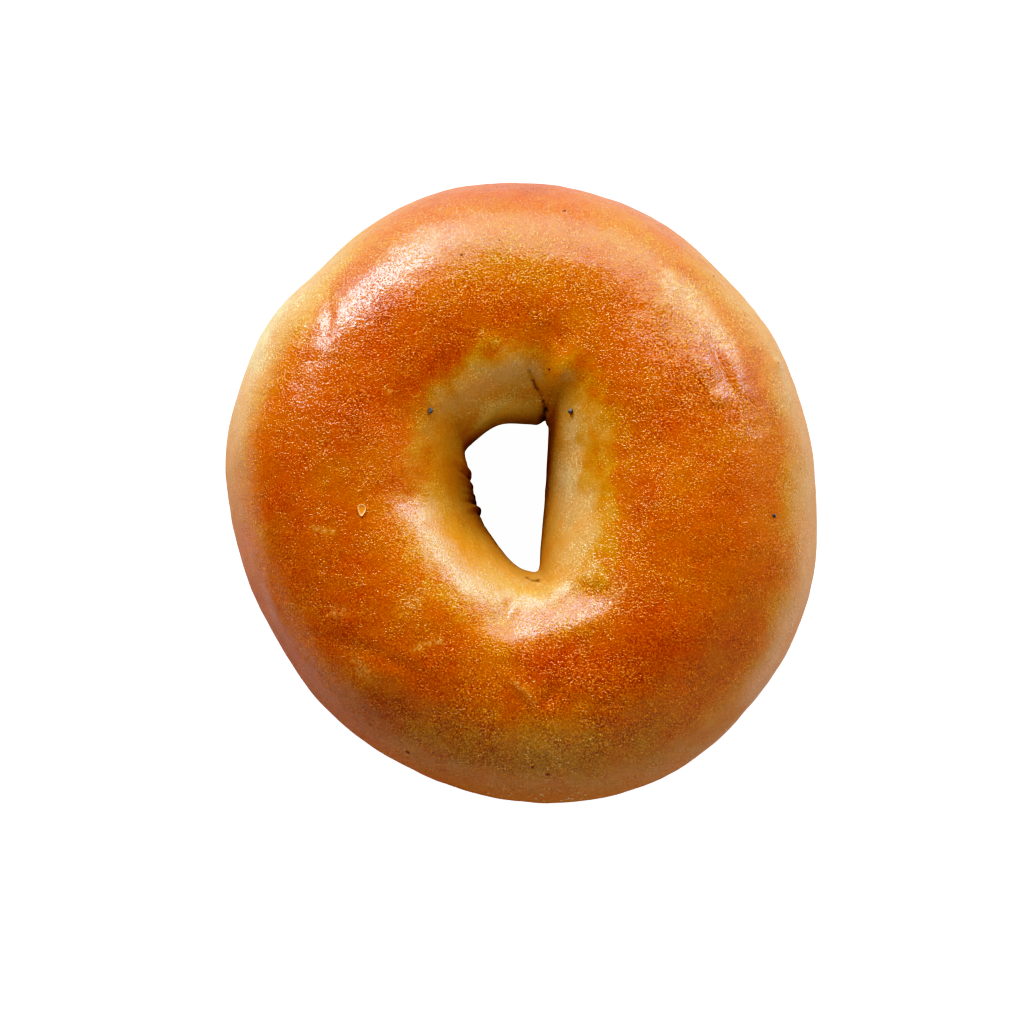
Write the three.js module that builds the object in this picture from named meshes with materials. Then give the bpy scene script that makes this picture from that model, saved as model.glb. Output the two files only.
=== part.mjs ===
// A plain baked bagel: one ring of dough, flat below, domed above, with an uneven half-moon hole.
// Millimetres, +Z up. The origin is on the table, under the middle of the bagel.
import * as THREE from "three";

// ---- Driving dimensions: millimetres, and degrees anticlockwise from +X ----

// The ring's outer edge is a circle with broad swells, each centred on a direction.
const RING_RADIUS = 51.5;
const RING_SWELLS = [
  { at: 104, spread: 30, rise: 3.9 },
  { at: 67, spread: 20, rise: 2.2 },
  { at: 30, spread: 18, rise: 0.6 },
  { at: 148, spread: 12, rise: 1.7 },
  { at: 168, spread: 14, rise: 1.1 },
  { at: 208, spread: 17, rise: -1.3 },
  { at: 297, spread: 42, rise: 4.6 },
  { at: 336, spread: 14, rise: 0.8 },
];

// The hole's rim is straight walls that meet in tight curves. Each wall faces the hole from one
// direction, at a distance from the hole's own centre.
const HOLE_CENTRE = { x: -1.5, y: 1.1 };
const HOLE_WALLS = [
  { at: -4.4, distance: 5.8 },
  { at: 92.6, distance: 11.45 },
  { at: 128.7, distance: 10.45 },
  { at: 193.5, distance: 6.95 },
  { at: 215.7, distance: 8 },
  { at: 258, distance: 14.2 },
];
// The hole's corners are sharp at its neck. They soften up the wall, over the first part of the way
// across the dough.
const NECK_SHARPNESS = 16;
const WALL_SHARPNESS = 5;
const WALL_SOFTENING = 0.2;

// Each upright section is widest at a waist, domed above it and pressed flat below it.
const CREST_HEIGHT = 37.6;
const CREST_SWELLS = [
  { at: 0, spread: 60, rise: 2.2 },
  { at: 185, spread: 45, rise: 0.8 },
  { at: 80, spread: 24, rise: -1.4 },
  { at: 268, spread: 24, rise: -1.6 },
];
const OUTER_WAIST = 16;
const HOLE_WAIST = 13.5;
const HOLE_WAIST_SWELLS = [
  { at: 110, spread: 48, rise: 11 },
  { at: 215, spread: 40, rise: -4 },
];
const DOME_FULLNESS = 2.15;
const BASE_FULLNESS = 3.4;
const BASE_PRESS = 1.05;

// Relief of the crust, in places seen from above. A soft form is a rise, or a hollow where rise is
// negative, that dies away over its long and wide reach.
const SOFT_FORMS = [
  { name: "seam lobe", x: 7.4, y: 18.6, long: 4.6, wide: 2.8, turned: 64, rise: 1.8 },
  { name: "seam shoulder", x: -2.8, y: 20.5, long: 5.5, wide: 4.2, turned: 150, rise: 0.4 },
  { name: "lower dent", x: 4.8, y: -38, long: 2.6, wide: 1.9, turned: 65, rise: -0.5 },
  { name: "right blister", x: 33.4, y: 12.6, long: 2.2, wide: 2, turned: 0, rise: 0.4 },
  { name: "right ridge", x: 30.8, y: 18.6, long: 6, wide: 2.4, turned: 108, rise: 0.35 },
  { name: "outer ridge", x: 37.6, y: 18.2, long: 7, wide: 2.4, turned: 108, rise: 0.3 },
  { name: "upper right ridge", x: 24.6, y: 31.5, long: 5, wide: 2.4, turned: 85, rise: 0.3 },
  { name: "left hollow", x: -19.5, y: -4.5, long: 6, wide: 3.2, turned: 160, rise: -0.4 },
  { name: "lower left swell", x: -25, y: -35.5, long: 9, wide: 4, turned: -25, rise: 0.45 },
];

// A crease follows a curve from one end over a bend point to the other end. It is a fold of the
// given depth, or a long ridge where depth is negative.
const CREASES = [
  { name: "seam", from: [0.6, 19.4], bend: [1.8, 16.4], to: [4.6, 13.6], width: 1.1, depth: 0.6 },
  { name: "lower lip", from: [-12, -29.5], bend: [12, -31.5], to: [17.5, -18], width: 2.8, depth: -0.3 },
  { name: "lower tuck", from: [3.5, -13], bend: [0.5, -18], to: [-5, -27], width: 1.5, depth: 0.2 },
  { name: "face fold", from: [3.2, -16], bend: [-0.2, -20], to: [-3.4, -27], width: 1.1, depth: -0.2 },
  { name: "left fold", from: [-38, -27], bend: [-25, -28.5], to: [-15, -36], width: 1.4, depth: 0.3 },
  { name: "right furrow", from: [32.6, 22.8], bend: [33.8, 18], to: [36.6, 12.8], width: 1.4, depth: 0.4 },
];
const CREASE_STEPS = 12;

// A flat face pressed into the dough. Its plane passes through the given place, tilted from level
// towards the direction it is facing, and it ends soon after its long and wide reach.
const PRESSED_FACES = [
  {
    name: "lower face",
    x: 5.2,
    y: -23.2,
    z: 35.4,
    tilt: 22,
    facing: 128,
    long: 10,
    wide: 4.5,
    turned: 8,
  },
];
const PRESS_LIMIT = 1;
const RELIEF_FADE = { from: -0.25, to: 0.2 };

// The mesh: columns round the ring, rows round each section.
const COLUMNS = 112;
const ROWS = 48;
const NORMAL_STEP = 0.002;

// ---- Outlines ----

const radians = THREE.MathUtils.degToRad;

function turnBetween(a, b) {
  return THREE.MathUtils.euclideanModulo(a - b + 180, 360) - 180;
}

function swellAt(angle, swells) {
  return swells.reduce((sum, swell) => {
    const away = turnBetween(angle, swell.at) / swell.spread;
    return sum + swell.rise * Math.exp(-away * away);
  }, 0);
}

function holeRadius(angle, sharpness) {
  const closeness = HOLE_WALLS.reduce((sum, wall) => {
    const facing = Math.max(Math.cos(radians(angle - wall.at)), 0);
    return sum + (facing / wall.distance) ** sharpness;
  }, 0);
  return closeness ** (-1 / sharpness);
}

// ---- The smooth body ----

function rounded(value, fullness) {
  return Math.sign(value) * Math.abs(value) ** (2 / fullness);
}

// angle goes round the ring in degrees, turn goes round the section in radians from the outside.
function bodyPoint(angle, turn) {
  const fullness = Math.sin(turn) >= 0 ? DOME_FULLNESS : BASE_FULLNESS;
  const across = (rounded(Math.cos(turn), fullness) + 1) / 2;
  const lift = rounded(Math.sin(turn), fullness);
  const outer = RING_RADIUS + swellAt(angle, RING_SWELLS);
  const soften = THREE.MathUtils.smoothstep(across, 0, WALL_SOFTENING);
  const neck = holeRadius(angle, NECK_SHARPNESS);
  const inner = THREE.MathUtils.lerp(neck, holeRadius(angle, WALL_SHARPNESS), soften);
  const east = Math.cos(radians(angle));
  const north = Math.sin(radians(angle));
  const holeWaist = HOLE_WAIST + swellAt(angle, HOLE_WAIST_SWELLS);
  const waist = THREE.MathUtils.lerp(holeWaist, OUTER_WAIST, across);
  const dome = CREST_HEIGHT + swellAt(angle, CREST_SWELLS) - waist;
  const height = waist + lift * (lift >= 0 ? dome : BASE_PRESS * waist);
  return new THREE.Vector3(
    THREE.MathUtils.lerp(HOLE_CENTRE.x + inner * east, outer * east, across),
    THREE.MathUtils.lerp(HOLE_CENTRE.y + inner * north, outer * north, across),
    Math.max(height, 0),
  );
}

function bodyNormal(angle, turn) {
  const step = NORMAL_STEP;
  const along = bodyPoint(angle + step, turn).sub(bodyPoint(angle - step, turn));
  const round = bodyPoint(angle, turn + step).sub(bodyPoint(angle, turn - step));
  return along.cross(round).normalize();
}

// ---- Relief ----

// How far out a place is from a form's middle, squared: 1 is at its long and wide reach.
function outness(point, form) {
  const turned = radians(form.turned);
  const east = point.x - form.x;
  const north = point.y - form.y;
  const along = (east * Math.cos(turned) + north * Math.sin(turned)) / form.long;
  const across = (north * Math.cos(turned) - east * Math.sin(turned)) / form.wide;
  return along * along + across * across;
}

function softForm(point, form) {
  return form.rise * Math.exp(-outness(point, form));
}

const creaseCurves = CREASES.map((crease) => {
  const ends = [crease.from, crease.bend, crease.to].map((place) => new THREE.Vector2(...place));
  return new THREE.QuadraticBezierCurve(...ends).getPoints(CREASE_STEPS);
});

// The nearest place on a crease: how far away it is, and its share of the way along.
function nearestOnCurve(place, curve) {
  const nearest = { away: Infinity, share: 0 };
  for (let step = 1; step < curve.length; step += 1) {
    const start = curve[step - 1];
    const run = curve[step].clone().sub(start);
    const part = THREE.MathUtils.clamp(place.clone().sub(start).dot(run) / run.lengthSq(), 0, 1);
    const away = place.distanceTo(run.multiplyScalar(part).add(start));
    if (away < nearest.away) {
      nearest.away = away;
      nearest.share = (step - 1 + part) / (curve.length - 1);
    }
  }
  return nearest;
}

// A crease is deepest halfway along and runs out at both ends.
function creaseForm(point, crease, curve) {
  const nearest = nearestOnCurve(new THREE.Vector2(point.x, point.y), curve);
  const away = nearest.away / crease.width;
  const runOut = 4 * nearest.share * (1 - nearest.share);
  return -crease.depth * runOut * Math.exp(-away * away);
}

// The change that brings the crust to a pressed face's plane.
function pressForm(point, face) {
  const lean = Math.sin(radians(face.tilt));
  const east = lean * Math.cos(radians(face.facing));
  const north = lean * Math.sin(radians(face.facing));
  const normal = new THREE.Vector3(east, north, Math.cos(radians(face.tilt)));
  const above = normal.dot(point.clone().sub(face));
  return -THREE.MathUtils.clamp(above, -PRESS_LIMIT, PRESS_LIMIT) * Math.exp(-(outness(point, face) ** 2));
}

function reliefAt(point, turn) {
  const fade = THREE.MathUtils.smoothstep(Math.sin(turn), RELIEF_FADE.from, RELIEF_FADE.to);
  const soft = SOFT_FORMS.reduce((sum, form) => sum + softForm(point, form), 0);
  const folds = CREASES.reduce((sum, fold, at) => sum + creaseForm(point, fold, creaseCurves[at]), 0);
  const pressed = PRESSED_FACES.reduce((sum, face) => sum + pressForm(point, face), 0);
  return fade * (soft + folds + pressed);
}

function crustPoint(angle, turn) {
  const point = bodyPoint(angle, turn);
  return point.addScaledVector(bodyNormal(angle, turn), reliefAt(point, turn));
}

// ---- The ring of dough ----

function bagelGeometry() {
  const points = [];
  for (let column = 0; column < COLUMNS; column += 1) {
    for (let row = 0; row < ROWS; row += 1) {
      points.push(crustPoint((column * 360) / COLUMNS, ((row + 0.5) * 2 * Math.PI) / ROWS));
    }
  }
  const corner = (column, row) => (column % COLUMNS) * ROWS + (row % ROWS);
  const triangles = [];
  for (let column = 0; column < COLUMNS; column += 1) {
    for (let row = 0; row < ROWS; row += 1) {
      const near = corner(column, row);
      const far = corner(column + 1, row);
      const farNext = corner(column + 1, row + 1);
      const nearNext = corner(column, row + 1);
      triangles.push(near, far, nearNext, far, farNext, nearNext);
    }
  }
  const geometry = new THREE.BufferGeometry().setFromPoints(points);
  geometry.setIndex(triangles);
  geometry.computeBoundingBox();
  const middle = geometry.boundingBox.getCenter(new THREE.Vector3());
  geometry.translate(-middle.x, -middle.y, -geometry.boundingBox.min.z);
  geometry.computeVertexNormals();
  return geometry;
}

const crust = new THREE.MeshStandardMaterial({ color: 0xc4640f, roughness: 0.42, metalness: 0 });
const bagel = new THREE.Mesh(bagelGeometry(), crust);
bagel.name = "bagel";

const group = new THREE.Group();
group.name = "plain_bagel";
group.add(bagel);

export default group;
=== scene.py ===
import math

import bmesh
import bpy
import numpy as np
from mathutils import Matrix, Quaternion, Vector
from mathutils.bvhtree import BVHTree


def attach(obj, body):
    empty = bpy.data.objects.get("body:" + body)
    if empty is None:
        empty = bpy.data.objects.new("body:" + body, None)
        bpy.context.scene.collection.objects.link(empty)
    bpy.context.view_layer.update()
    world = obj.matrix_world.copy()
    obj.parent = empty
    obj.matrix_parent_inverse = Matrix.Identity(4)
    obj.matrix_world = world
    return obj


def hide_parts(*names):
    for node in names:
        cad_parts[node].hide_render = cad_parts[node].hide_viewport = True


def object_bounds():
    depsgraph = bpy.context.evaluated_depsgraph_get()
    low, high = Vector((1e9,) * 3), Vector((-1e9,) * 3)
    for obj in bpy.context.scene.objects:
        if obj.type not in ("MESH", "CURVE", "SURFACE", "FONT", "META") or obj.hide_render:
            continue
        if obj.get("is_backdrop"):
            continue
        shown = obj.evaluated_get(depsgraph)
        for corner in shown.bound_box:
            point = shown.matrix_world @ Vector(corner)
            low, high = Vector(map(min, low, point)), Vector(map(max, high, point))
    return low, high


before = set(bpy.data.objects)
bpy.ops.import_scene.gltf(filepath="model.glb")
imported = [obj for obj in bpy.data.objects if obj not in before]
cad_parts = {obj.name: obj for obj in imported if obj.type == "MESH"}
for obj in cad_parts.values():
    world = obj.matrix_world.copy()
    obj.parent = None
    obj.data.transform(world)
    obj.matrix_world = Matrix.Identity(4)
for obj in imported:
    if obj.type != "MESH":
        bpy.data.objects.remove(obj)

# A plain baked bagel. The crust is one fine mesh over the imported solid, with the solid's own form and
# finer relief, and small pieces lie on it. Lengths are millimetres until MM turns them into metres.
CAD_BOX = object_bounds()
MM = 0.001

# ---- Form of the bagel, the same as the solid's but for HOLE_EDGE and the torn side ----

# Directions are in degrees, anticlockwise from +X.
RING_RADIUS = 51.5
# direction, spread, rise
RING_SWELLS = (
    (104, 30, 3.9),
    (67, 20, 2.2),
    (30, 18, 0.6),
    (148, 12, 1.7),
    (168, 14, 1.1),
    (208, 17, -1.3),
    (297, 42, 4.6),
    (336, 14, 0.8),
)
HOLE_CENTRE = (-1.5, 1.1)
# direction, distance
HOLE_WALLS = ((-4.4, 5.8), (92.6, 11.45), (128.7, 10.45), (193.5, 6.95), (215.7, 8), (258, 14.2))
HOLE_SHARPNESS = 16
# The hole's corners soften up its wall, over this share of the way across the dough.
WALL_SHARPNESS = 5
WALL_SOFTENING = 0.2
# Where the hole is narrowest: the seam's pinch, and nubs of dough on the left. Direction, spread, depth
HOLE_EDGE = ((66, 2.2, 1.7), (163, 3.2, -0.4), (172, 4, 0.25), (213, 2.6, -0.55), (206, 3, 0.3))
# It is torn on the left: direction, spread, depth, then how many waves go round the ring, and their start
RAGGED_SWELL = (190, 38, 0.07)
RAGGED_WAVES = (23, 31, 47)
RAGGED_START = -50
# This comes in towards the hole, where 0 is the section's middle and 1 the narrowest place.
HOLE_EDGE_SPAN = (0.8, 1)
CREST_HEIGHT = 37.6
CREST_SWELLS = ((0, 60, 2.2), (185, 45, 0.8), (80, 24, -1.4), (268, 24, -1.6))
OUTER_WAIST = 16
HOLE_WAIST = 13.5
HOLE_WAIST_SWELLS = ((110, 48, 11), (215, 40, -4))
DOME_FULLNESS = 2.15
BASE_FULLNESS = 3.4
BASE_PRESS = 1.05

# Soft forms: x, y, long reach, wide reach, degrees turned, rise
SOFT_FORMS = {
    "seam lobe": (7.4, 18.6, 4.6, 2.8, 64, 1.8),
    "seam shoulder": (-2.8, 20.5, 5.5, 4.2, 150, 0.4),
    "lower dent": (4.8, -38, 2.2, 1.3, 65, -0.4),
    "right blister": (33.4, 12.6, 1.9, 1.5, 0, 0.4),
    "right ridge": (30.8, 18.6, 6, 2.2, 108, 0.35),
    "outer ridge": (37.6, 18.2, 7, 2.4, 108, 0.3),
    "upper right ridge": (24.6, 31.5, 5, 2.2, 85, 0.3),
    "left hollow": (-19.5, -4.5, 6, 3.2, 160, -0.4),
    "lower left swell": (-25, -35.5, 9, 4, -25, 0.45),
    "pimple": (44.7, 20.5, 1.0, 1.0, 0, 0.35),
}

# Creases: start, bend, end, width, depth. A negative depth is a ridge.
CREASES = {
    "seam": ((0.6, 19.4), (1.8, 16.4), (4.6, 13.6), 0.4, 0.35),
    "lobe edge": ((2.2, 25.6), (9, 24.4), (10.8, 15.6), 1.2, 0.15),
    "lower lip": ((-12, -29.5), (12, -31.5), (17.5, -18), 2.8, -0.3),
    "lower tuck": ((3.5, -13), (0.5, -18), (-5, -27), 1.4, 0.15),
    "face fold": ((3.2, -16), (-0.2, -20), (-3.4, -27), 0.7, -0.2),
    "dent rim": ((-4, -33), (0.4, -36.4), (4, -41), 0.8, -0.25),
    "left fold": ((-38, -27), (-25, -28.5), (-15, -36), 1.3, 0.25),
    "left ledge": ((-44.6, -15), (-42.8, -21), (-38.8, -28.5), 0.9, -0.28),
    "upper wrinkle": ((-34.8, 35), (-31.4, 29), (-34.2, 22), 1.0, 0.2),
    "right furrow": ((32.6, 22.8), (33.8, 18), (36.6, 12.8), 0.7, 0.3),
}
CREASE_STEPS = 12

# Flat faces pressed into the dough: x, y, z, tilt, direction faced, long reach, wide reach, degrees turned
FACETS = {
    "lower face": (5.2, -23.2, 35.4, 22, 128, 10, 4.5, 8),
}
FACET_LIMIT = 1.0
RELIEF_FADE = (-0.25, 0.2)

# ---- The crust's mesh ----

COLUMNS = 540
UPPER_ROWS = 130
LOWER_ROWS = 50
NORMAL_STEP = 0.002


def turn_between(a, b):
    return (a - b + 180) % 360 - 180


def swell_at(angle, swells):
    return sum(rise * np.exp(-((turn_between(angle, at) / spread) ** 2)) for at, spread, rise in swells)


def hole_radius(angle, sharpness):
    closeness = 0
    for at, distance in HOLE_WALLS:
        facing = np.maximum(np.cos(np.radians(angle - at)), 0)
        closeness = closeness + (facing / distance) ** sharpness
    return closeness ** (-1 / sharpness)


def hole_edge(angle, turn):
    """The seam's pinch, the nubs and the torn side, at the hole's narrowest place only."""
    waves = sum(np.sin(np.radians((angle - RAGGED_START) * number)) for number in RAGGED_WAVES)
    edge = swell_at(angle, HOLE_EDGE) + swell_at(angle, (RAGGED_SWELL,)) * waves
    return edge * smoothstep(-np.cos(turn), *HOLE_EDGE_SPAN)


def rounded(value, fullness):
    return np.sign(value) * np.abs(value) ** (2 / fullness)


def smoothstep(value, low, high):
    share = np.clip((value - low) / (high - low), 0, 1)
    return share * share * (3 - 2 * share)


def body_point(angle, turn):
    """The smooth body: angle goes round the ring in degrees, turn round the section in radians."""
    fullness = np.where(np.sin(turn) >= 0, DOME_FULLNESS, BASE_FULLNESS)
    across = (rounded(np.cos(turn), fullness) + 1) / 2
    lift = rounded(np.sin(turn), fullness)
    outer = RING_RADIUS + swell_at(angle, RING_SWELLS)
    soften = smoothstep(across, 0, WALL_SOFTENING)
    inner = hole_radius(angle, HOLE_SHARPNESS) * (1 - soften) + hole_radius(angle, WALL_SHARPNESS) * soften
    inner = inner + hole_edge(angle, turn)
    east = np.cos(np.radians(angle))
    north = np.sin(np.radians(angle))
    hole_waist = HOLE_WAIST + swell_at(angle, HOLE_WAIST_SWELLS)
    waist = hole_waist + (OUTER_WAIST - hole_waist) * across
    dome = CREST_HEIGHT + swell_at(angle, CREST_SWELLS) - waist
    height = waist + lift * np.where(lift >= 0, dome, BASE_PRESS * waist)
    hole_x = HOLE_CENTRE[0] + inner * east
    hole_y = HOLE_CENTRE[1] + inner * north
    x = hole_x + (outer * east - hole_x) * across
    y = hole_y + (outer * north - hole_y) * across
    return np.stack([x, y, np.maximum(height, 0)], -1)


def body_normal(angle, turn):
    step = NORMAL_STEP
    along = body_point(angle + step, turn) - body_point(angle - step, turn)
    across = body_point(angle, turn + step) - body_point(angle, turn - step)
    normal = np.cross(along, across)
    return normal / np.linalg.norm(normal, axis=-1, keepdims=True)


def soft_form(place, form):
    x, y, long, wide, turned, rise = form
    east = place[..., 0] - x
    north = place[..., 1] - y
    cos = math.cos(math.radians(turned))
    sin = math.sin(math.radians(turned))
    along = (east * cos + north * sin) / long
    across = (north * cos - east * sin) / wide
    return rise * np.exp(-along * along - across * across)


def nearest_on_curve(place, start, bend, end):
    """How far each place is from the curve, and the nearest point's share of the way along."""
    share = np.linspace(0, 1, CREASE_STEPS + 1)[:, None]
    curve = (1 - share) ** 2 * np.array(start) + 2 * share * (1 - share) * np.array(bend)
    curve = curve + share**2 * np.array(end)
    away = np.full(place.shape[:-1], np.inf)
    along = np.zeros(place.shape[:-1])
    for step in range(CREASE_STEPS):
        run = curve[step + 1] - curve[step]
        part = np.clip((place[..., :2] - curve[step]) @ run / (run @ run), 0, 1)
        gap = np.linalg.norm(place[..., :2] - curve[step] - part[..., None] * run, axis=-1)
        nearer = gap < away
        away = np.where(nearer, gap, away)
        along = np.where(nearer, (step + part) / CREASE_STEPS, along)
    return away, along


def crease_form(place, crease):
    start, bend, end, width, depth = crease
    away, along = nearest_on_curve(place, start, bend, end)
    run_out = 4 * along * (1 - along)
    return -depth * run_out * np.exp(-((away / width) ** 2))


def facet_form(place, facet):
    x, y, z, tilt, faced, long, wide, turned = facet
    lean = math.sin(math.radians(tilt))
    east = (place[..., 0] - x) * lean * math.cos(math.radians(faced))
    north = (place[..., 1] - y) * lean * math.sin(math.radians(faced))
    above = east + north + (place[..., 2] - z) * math.cos(math.radians(tilt))
    spread = np.log(soft_form(place, (x, y, long, wide, turned, 1)))
    return -np.clip(above, -FACET_LIMIT, FACET_LIMIT) * np.exp(-spread * spread)


def main_relief(place, turn):
    fade = smoothstep(np.sin(turn), *RELIEF_FADE)
    soft = sum(soft_form(place, form) for form in SOFT_FORMS.values())
    folds = sum(crease_form(place, crease) for crease in CREASES.values())
    faces = sum(facet_form(place, facet) for facet in FACETS.values())
    return fade * (soft + folds + faces)


# ---- Finer relief, which only the crust's mesh has ----

# Waves all over the crust, here and below: wavelength, height, random seed
DOUGH_WAVES = ((20, 0.09, 1), (8, 0.025, 2), (3.2, 0.016, 3))
# They start at the base and have their whole height from here up.
DOUGH_WAVES_WHOLE = 4
WAVES_IN_EACH = 28
# The waves in each are this much shorter or longer than its wavelength.
WAVE_LENGTHS = (0.75, 1.35)


def wavy(place, wavelength, seed):
    """Smooth lumps of about one wavelength: plane waves in random directions, added up."""
    draw = np.random.default_rng(seed)
    total = np.zeros(place.shape[:-1])
    for _ in range(WAVES_IN_EACH):
        direction = draw.normal(size=3)
        direction = direction / np.linalg.norm(direction)
        length = wavelength * draw.uniform(*WAVE_LENGTHS)
        total = total + np.sin(place @ direction * 2 * math.pi / length + draw.uniform(0, 2 * math.pi))
    return total / math.sqrt(WAVES_IN_EACH / 2)


def waves_at(place, waves):
    return sum(height * wavy(place, wavelength, seed) for wavelength, height, seed in waves)


def fine_relief(place):
    return waves_at(place, DOUGH_WAVES) * smoothstep(place[..., 2], 0, DOUGH_WAVES_WHOLE)


def crust_point(angle, turn):
    place = body_point(angle, turn)
    relief = main_relief(place, turn) + fine_relief(place)
    return place + body_normal(angle, turn) * relief[..., None]


# ---- Browning, with painted light and shade in places: 0 is pale dough, 1 is the darkest crust. Swells: direction, spread, change ----

CREST_BROWNING = 0.68
CREST_WAVES = ((15, 0.04, 13),)
SIDE_BROWNING = 0.3
SIDE_SWELLS = (
    (150, 26, -0.32),
    (85, 34, 0.7),
    (215, 44, 0.36),
    (280, 34, 0.06),
    (30, 26, -0.12),
    (325, 30, -0.2),
)
HOLE_BROWNING = 0.12
HOLE_SWELLS = ((100, 36, 0.04), (175, 36, 0.22), (235, 24, 0.16), (282, 30, 0.06), (0, 36, -0.08))
# At the hole's narrowest place the level is painted shade, darker than the wall above it, and painted
# light on the upper wall, which is paler.
NECK_LIGHT_AND_SHADE_LEVEL = 0.32
NECK_LIGHT_AND_SHADE_SWELLS = ((95, 50, -0.4), (0, 40, -0.2))
NECK_LIGHT_AND_SHADE_EDGE = (135, 175)
FOOT_BROWNING = 0.72
FOOT_WAVES = ((9, 0.08, 16),)
# How far down the section, from 0 to 1, the foot's browning starts, outside and in the hole, and how much
# farther down it is whole
FOOT_STARTS = (-0.17, 0.5)
FOOT_SPAN = 0.5
# How far down the section the looks of the sides fade out, and are gone
UNDERSIDE_SPAN = (0.5, 0.95)
# The section angles, in degrees, where the browned crest starts outside and ends towards the hole.
OUTER_EDGE = 34
OUTER_EDGE_SWELLS = (
    (160, 22, 15),
    (184, 20, -4),
    (0, 36, 8),
    (45, 18, 15),
    (92, 24, -28),
    (128, 15, 8),
    (228, 20, -11),
    (274, 16, 5),
    (308, 14, -8),
)
OUTER_EDGE_WAVES = ((13, 2.5, 11),)
OUTER_SOFTNESS = 17
OUTER_SOFTNESS_SWELLS = ((218, 24, -9),)
INNER_EDGE = 116
INNER_EDGE_SWELLS = (
    (62, 24, 9),
    (135, 26, 8),
    (0, 30, 9),
    (300, 20, -3),
    (274, 14, 4),
    (248, 14, -8),
    (222, 20, -8),
    (178, 22, 7),
)
INNER_EDGE_WAVES = ((11, 2, 12), (4.5, 2.2, 14), (2, 1.4, 15))
INNER_SOFTNESS = 12
INNER_SOFTNESS_SWELLS = ((280, 24, -6), (0, 40, 5))
# x, y, long reach, wide reach, degrees turned, change
BROWNING_PATCHES = (
    (-40, 3, 12, 5, 95, 0.12),
    (-29, 8, 10, 6, 100, 0.03),
    (-27, 22, 12, 6, 50, 0.15),
    (7, -31, 12, 3, 10, 0.14),
    (20, -34, 9, 6, 30, 0.08),
    (34, -3, 10, 6, 90, -0.05),
    (34, -20, 12, 8, 65, 0.05),
    (8, -43, 12, 4, 5, -0.07),
    (-17, -10, 7, 4, 60, -0.05),
    (-3, 41, 24, 6, 0, -0.14),
    (26, 33, 12, 6, 125, -0.2),
    # Paler on the lower front side, which faces away from the lamps: painted fill light
    (2, -49, 32, 6, 0, -0.26),
    (-8, -30, 10, 4, -20, -0.08),
    (-16, 20, 9, 5, 50, 0.1),
    (9, -22.5, 8, 3.5, 12, -0.1),
    (-4, -24.5, 5, 4, 20, -0.26),
    # Paler in a hollow beside the lower face: painted light against its shade
    (12.8, -18.2, 2.6, 2, 20, -0.25),
    (33, 13, 6, 5, 0, 0.12),
    (0, 52, 26, 4, 0, 0.16),
)
# The lower sides get a mauve-pink tint, a painted sheen of the pale surroundings. Swells: direction,
# spread, share
SHEEN_TINT = (1.0, 0.76, 1.35, 1)
SHEEN_TINT_SWELLS = ((222, 34, 1.0), (280, 38, 0.85), (335, 30, 0.4))
# Section angles, in degrees, between which a look fades out or comes in, here and below
SHEEN_TINT_EDGE = (14, 52)
MATT_SIDE_EDGE = (4, 44)
MATT_NECK_EDGE = (125, 165)
# x, y, long reach, wide reach, degrees turned, share
MATT_PATCHES = ((6, -22.5, 10, 5, 8, 0.5), (-14, 41, 7, 4, 20, 0.4))
# The grain's strength on the lower sides, and the share of it that the hole's wall loses
SIDE_GRAIN = 0.4
WALL_GRAIN_LOSS = 0.8
GRAIN_SIDE_EDGE = (8, 42)
GRAIN_WALL_EDGE = (105, 130)
# More or less grain: x, y, long reach, wide reach, degrees turned, change
GRAIN_PATCHES = (
    (31, 23, 15, 8, 118, 1.1),
    (-26, 30, 14, 5, 40, 0.35),
    (36, -4, 11, 22, 0, -0.25),
    (-33, -2, 11, 20, 0, -0.25),
    (2, 39, 16, 5, 0, 0.3),
    (-4, -46, 30, 8, 0, 0.9),
    (-36, -24, 14, 7, 120, 0.3),
    (8, -23, 9, 5, 8, 0.7),
)
# Dull, greyish skin with painted shade down in the hole, and a duller, darker area on the left
DULL_AND_SHADE_TINT = (0.42, 0.48, 0.8, 1)
NECK_DULL_AND_SHADE = 0.36
NECK_DULL_AND_SHADE_SWELLS = ((205, 50, 0.6), (350, 34, 0.1), (100, 36, -0.3))
NECK_DULL_AND_SHADE_EDGE = (112, 168)
DULL_PATCHES = ((-31, 3, 13, 6, 95, 0.25),)
# Painted shade in creases on the hole's side of the crest: dark lines along the seam, and along a nick
# below the hole. Start, bend, end
CREASE_SHADE_LINES = (
    ((1.1, 18.9), (2.2, 16.4), (4.7, 13.2)),
    ((0.7, -16.2), (1.3, -17.3), (2.9, -17.2)),
)
CREASE_SHADE_FROM = 90
CREASE_SHADE_WIDTH = 0.2
CREASE_SHADE_WIDTH_WAVES = ((1.1, 0.1, 21),)
CREASE_SHADE_RUN_IN = 0.12
# A line breaks up where these waves are low: gone below the first height, whole above the second.
CREASE_SHADE_BREAKS = ((1.7, 1, 22),)
CREASE_SHADE_BREAK_SPAN = (-1.2, 0.4)
# The share of a pale line's length over which each end fades
SCUFF_AND_GLINT_RUN_OUT = 0.15
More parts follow.
